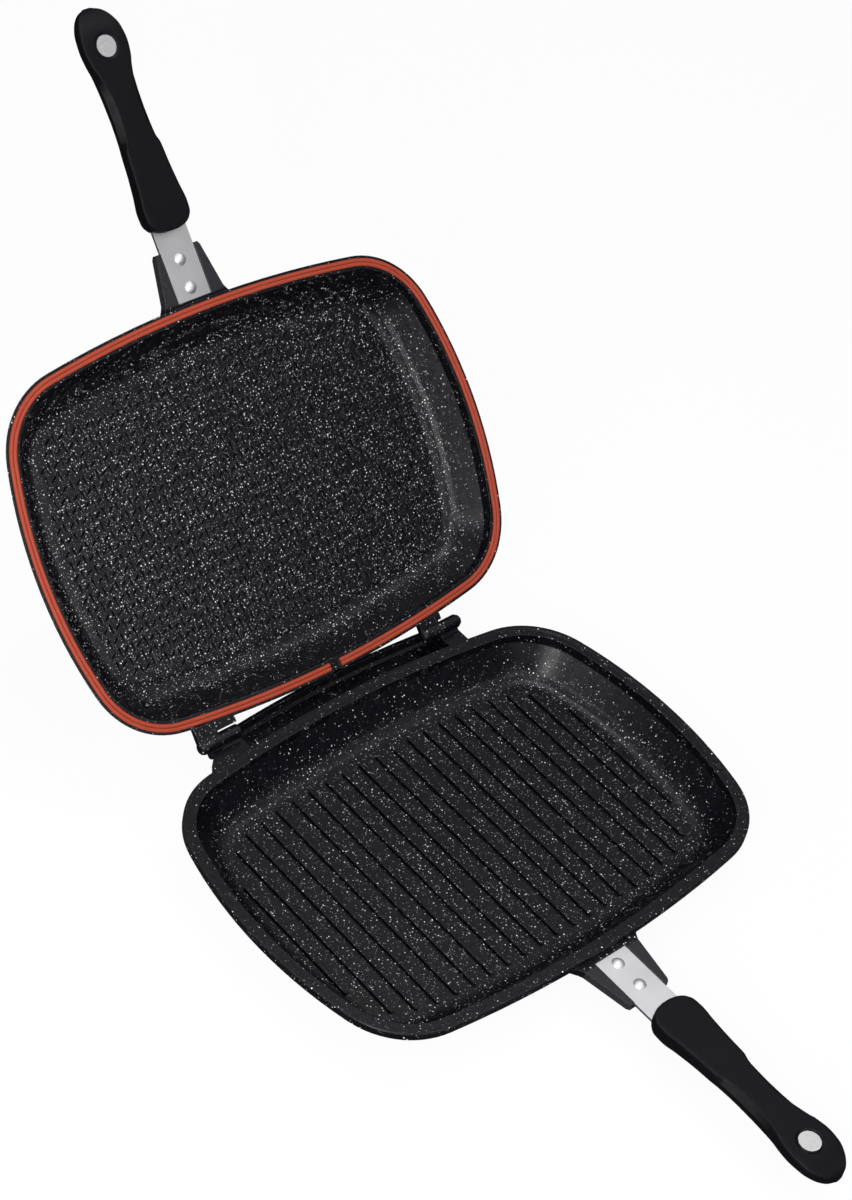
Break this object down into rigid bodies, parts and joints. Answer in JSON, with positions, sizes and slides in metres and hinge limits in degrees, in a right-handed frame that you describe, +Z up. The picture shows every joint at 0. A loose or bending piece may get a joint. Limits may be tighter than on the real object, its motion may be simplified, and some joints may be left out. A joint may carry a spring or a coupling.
{
  "type": "double sided flip pan",
  "caption": "Two-sided cast pan standing open: a ribbed grill pan hinged to a flat lid pan with a silicone seal, each with a riveted steel strap and a half grip with a magnet",
  "frame": {"origin": "the middle of the lower pan's flat base, on the table, midway between its sides and between its handle side and hinge side", "axes": "+X along the hinge to the right as seen from the lower handle, +Y from the lower handle to the hinge side, +Z up; the stored pose is the open one, with the lid pan leaning back on its stop"},
  "size_m": [0.36, 0.7792, 0.3565],
  "materials": {
    "cast_coated": "cast aluminium with a black non-stick coating flecked with white",
    "silicone": "matt brick-red silicone",
    "steel": "brushed stainless steel",
    "grip_plastic": "satin black heat-proof plastic",
    "magnet": "nickel-plated, satin"
  },
  "bodies": {
    "lower": {"lower_pan": "cast_coated", "hinge_pin_left": "steel", "hinge_pin_right": "steel", "lower_strap": "steel", "lower_rivet_near": "steel", "lower_rivet_far": "steel", "lower_grip": "grip_plastic", "lower_grip_screw": "steel", "lower_magnet": "magnet"},
    "upper": {"upper_pan": "cast_coated", "seal": "silicone", "upper_strap": "steel", "upper_rivet_near": "steel", "upper_rivet_far": "steel", "upper_grip": "grip_plastic", "upper_grip_screw": "steel", "upper_magnet": "magnet"}
  },
  "joints": [
    {"name": "main_hinge", "type": "hinge", "parent": "lower", "child": "upper", "pos_m": [0, 0.1332, 0.03835], "axis": [1, 0, 0], "range_deg": [0, 135]}
  ]
}
